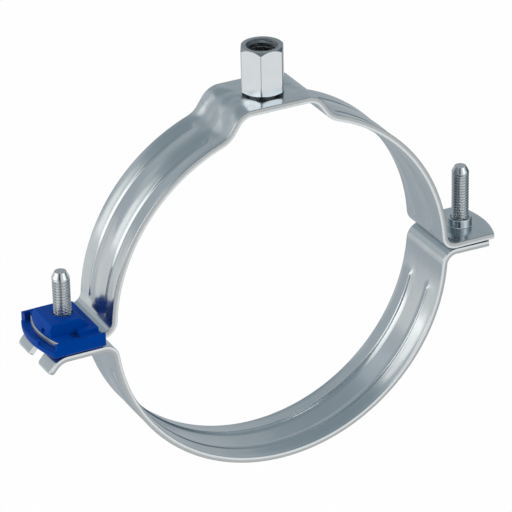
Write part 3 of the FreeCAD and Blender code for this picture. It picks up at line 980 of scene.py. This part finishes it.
def add_walls(tree, place):
    """Tone of the tent's wall in a direction: white by the camera, grey behind, and the dim parts."""
    level = add_node(tree, "ShaderNodeVectorMath", {"operation": "MULTIPLY"},
                     {0: place, 1: (1.0, 1.0, 0.0)})
    heading = add_node(tree, "ShaderNodeVectorMath", {"operation": "NORMALIZE"},
                       {0: level.outputs["Vector"]})
    sides = [camera_side] + [part[0] for part in dim_parts]
    nearness = [add_node(tree, "ShaderNodeVectorMath", {"operation": "DOT_PRODUCT"},
                         {0: heading.outputs["Vector"], 1: side}).outputs["Value"] for side in sides]
    share = add_node(tree, "ShaderNodeMapRange", {}, {"Value": nearness[0], "From Min": -1.0})
    ramp = add_node(tree, "ShaderNodeValToRGB", {}, {0: share.outputs["Result"]})
    stops = ramp.color_ramp.elements
    while len(stops) < len(wall_tones):
        stops.new(0.5)
    for stop, (place_on_wall, tone) in zip(stops, wall_tones):
        stop.position = (place_on_wall + 1) / 2
        stop.color = linear(tone)
    tone_so_far = ramp.outputs["Color"]
    slant = add_node(tree, "ShaderNodeVectorMath", {"operation": "NORMALIZE"}, {0: place})
    height = add_node(tree, "ShaderNodeSeparateXYZ", {}, {0: slant.outputs["Vector"]}).outputs["Z"]
    for near, (side, starts, full, tone, share_below) in zip(nearness[1:], dim_parts):
        fall = add_node(tree, "ShaderNodeMapRange", {"interpolation_type": "SMOOTHSTEP"},
                        {"Value": height, "From Min": below_full, "From Max": below_from,
                         "To Min": share_below})
        dim_share = add_node(tree, "ShaderNodeMapRange", {"interpolation_type": "SMOOTHSTEP"},
                             {"Value": near, "From Min": starts, "From Max": full,
                              "To Max": fall.outputs["Result"]})
        tone_so_far = add_node(tree, "ShaderNodeMix", {"data_type": "RGBA"},
                               {"Factor": dim_share.outputs["Result"], "A": tone_so_far,
                                "B": linear(tone)}).outputs["Result"]
    return tone_so_far


# %% Floor
floor_level = -350.0
floor_size = 14000.0
floor_paint = "#F4F5F5"
white = linear("#FFFFFF")
white_share = 0.985
corner = floor_size / 2
floor = new_object("floor", [(-corner, -corner, floor_level), (corner, -corner, floor_level),
                             (corner, corner, floor_level), (-corner, corner, floor_level)],
                   [(0, 1, 2, 3)])
white_floor, floor_tree = new_material("white_floor")
ray = add_node(floor_tree, "ShaderNodeLightPath")
seen_in_gloss = add_node(floor_tree, "ShaderNodeMath", {"operation": "MAXIMUM"},
                         {0: ray.outputs["Is Glossy Ray"], 1: ray.outputs["Is Transmission Ray"]})
seen_at_all = add_node(floor_tree, "ShaderNodeMath", {"operation": "MAXIMUM"},
                       {0: seen_in_gloss.outputs[0], 1: ray.outputs["Is Camera Ray"]})
bright_share = add_node(floor_tree, "ShaderNodeMath", {"operation": "MULTIPLY"},
                        {0: seen_at_all.outputs[0], 1: white_share})
floor_place = add_node(floor_tree, "ShaderNodeTexCoord").outputs["Object"]
# Seen in reflections, the floor glows with the tent's wall tones, dim parts too: a painted reflection of the room,
# not lit white.
reflected_room_glow = add_node(floor_tree, "ShaderNodeMix", {"data_type": "RGBA"},
                      {"Factor": seen_in_gloss.outputs[0], "A": white,
                       "B": add_walls(floor_tree, floor_place)})
matt = add_node(floor_tree, "ShaderNodeBsdfDiffuse", {}, {"Color": linear(floor_paint)})
bright = add_node(floor_tree, "ShaderNodeEmission", {},
                  {"Color": reflected_room_glow.outputs["Result"], "Strength": 1.0})
floor_mix = add_node(floor_tree, "ShaderNodeMixShader", {},
                     {0: bright_share.outputs[0], 1: matt.outputs[0], 2: bright.outputs[0]})
add_node(floor_tree, "ShaderNodeOutputMaterial", {}, {"Surface": floor_mix.outputs[0]})
floor.data.materials.append(white_floor)
print(f"floor: {floor_size:.0f} mm wide, {-floor_level:.0f} mm below the pipe's axis")

# %% Room light
ceiling_from, ceiling_full = 0.25, 0.8
ceiling_tone = "#96A2A9"
world = bpy.data.worlds.new("studio")
bpy.context.scene.world = world
world.use_nodes = True
world_tree = world.node_tree
world_tree.nodes.clear()
look = add_node(world_tree, "ShaderNodeTexCoord").outputs["Generated"]
height = add_node(world_tree, "ShaderNodeSeparateXYZ", {}, {0: look}).outputs["Z"]
ceiling_share = add_node(world_tree, "ShaderNodeMapRange", {"interpolation_type": "SMOOTHSTEP"},
                         {"Value": height, "From Min": ceiling_from, "From Max": ceiling_full})
room = add_node(world_tree, "ShaderNodeMix", {"data_type": "RGBA"},
                {"Factor": ceiling_share.outputs["Result"], "A": add_walls(world_tree, look),
                 "B": linear(ceiling_tone)})
room_light = add_node(world_tree, "ShaderNodeBackground", {},
                      {"Color": room.outputs["Result"], "Strength": 1.0})
plain_white = add_node(world_tree, "ShaderNodeBackground", {}, {"Color": white, "Strength": 1.0})
world_ray = add_node(world_tree, "ShaderNodeLightPath")
world_mix = add_node(world_tree, "ShaderNodeMixShader", {},
                     {0: world_ray.outputs["Is Camera Ray"], 1: room_light.outputs[0],
                      2: plain_white.outputs[0]})
add_node(world_tree, "ShaderNodeOutputWorld", {}, {"Surface": world_mix.outputs[0]})
print(f"room: {world.name}, {len(world_tree.nodes)} nodes")

# %% [markdown]
# ## Lamps
#
# Six weak soft lamps add to the room, and curved metal shows them as long bright streaks. Five stand
# well away. The sixth is a small card close on the left, where the left arc reflects it and the inside
# of the ring on the right doesn't. A bigger or more distant lamp would light both.

# %% Lamps
def softbox(name, towards, distance, size, power, colour="#FFFFFF"):
    """Square area lamp that looks at the bracket from a direction, in metres and watts."""
    lamp = bpy.data.lights.new(name, "AREA")
    lamp.color = linear(colour)[:3]
    lamp.shape = "SQUARE"
    lamp.size = size
    lamp.energy = power
    holder = bpy.data.objects.new(name, lamp)
    direction = Vector(towards).normalized()
    holder.location = direction * distance
    holder.rotation_euler = (-direction).to_track_quat("-Z", "Y").to_euler()
    bpy.context.scene.collection.objects.link(holder)
    print(f"{name}: {power} W, {size} m wide, {distance} m away")


softbox("left_softbox", (-0.83, 0.40, 0.40), 1.6, 1.1, 3.4, "#FFF7EC")
softbox("back_softbox", (-0.446, 0.772, 0.454), 1.8, 0.45, 0.1)
softbox("front_left_softbox", (-0.91, -0.03, 0.42), 1.6, 0.8, 1.6)
softbox("front_right_softbox", (0.41, -0.81, 0.42), 1.6, 0.8, 1.6)
softbox("top_softbox", (0.0, 0.0, 1.0), 1.6, 0.5, 1.5)
softbox("near_left_card", (-0.688, 0.719, -0.097), 0.36, 0.18, 0.036, "#FFF1E0")

# %% [markdown]
# ## Camera
#
# The photograph was taken from far away with a long lens, from the front left and above. The camera
# stands where the bracket's own lines put it: its place and direction were fitted to the strap's edges,
# the screws and the nut.

# %% Camera
camera_data = bpy.data.cameras.new("camera")
camera_data.lens = 232.7
camera_data.sensor_width = 36.0
camera_data.sensor_fit = "HORIZONTAL"
camera = bpy.data.objects.new("camera", camera_data)
right = Vector((0.88952, -0.45643, -0.02074))
up = Vector((0.22438, 0.39683, 0.89004))
back = right.cross(up)
camera.matrix_world = Matrix((right, up, back)).transposed().to_4x4()
camera.location = (-0.44169, -0.87598, 0.50935)
bpy.context.scene.collection.objects.link(camera)
bpy.context.scene.camera = camera
bpy.context.scene.view_settings.view_transform = "Standard"
print(f"camera: {camera.location.length:.2f} m away, {camera_data.lens:.0f} mm lens")
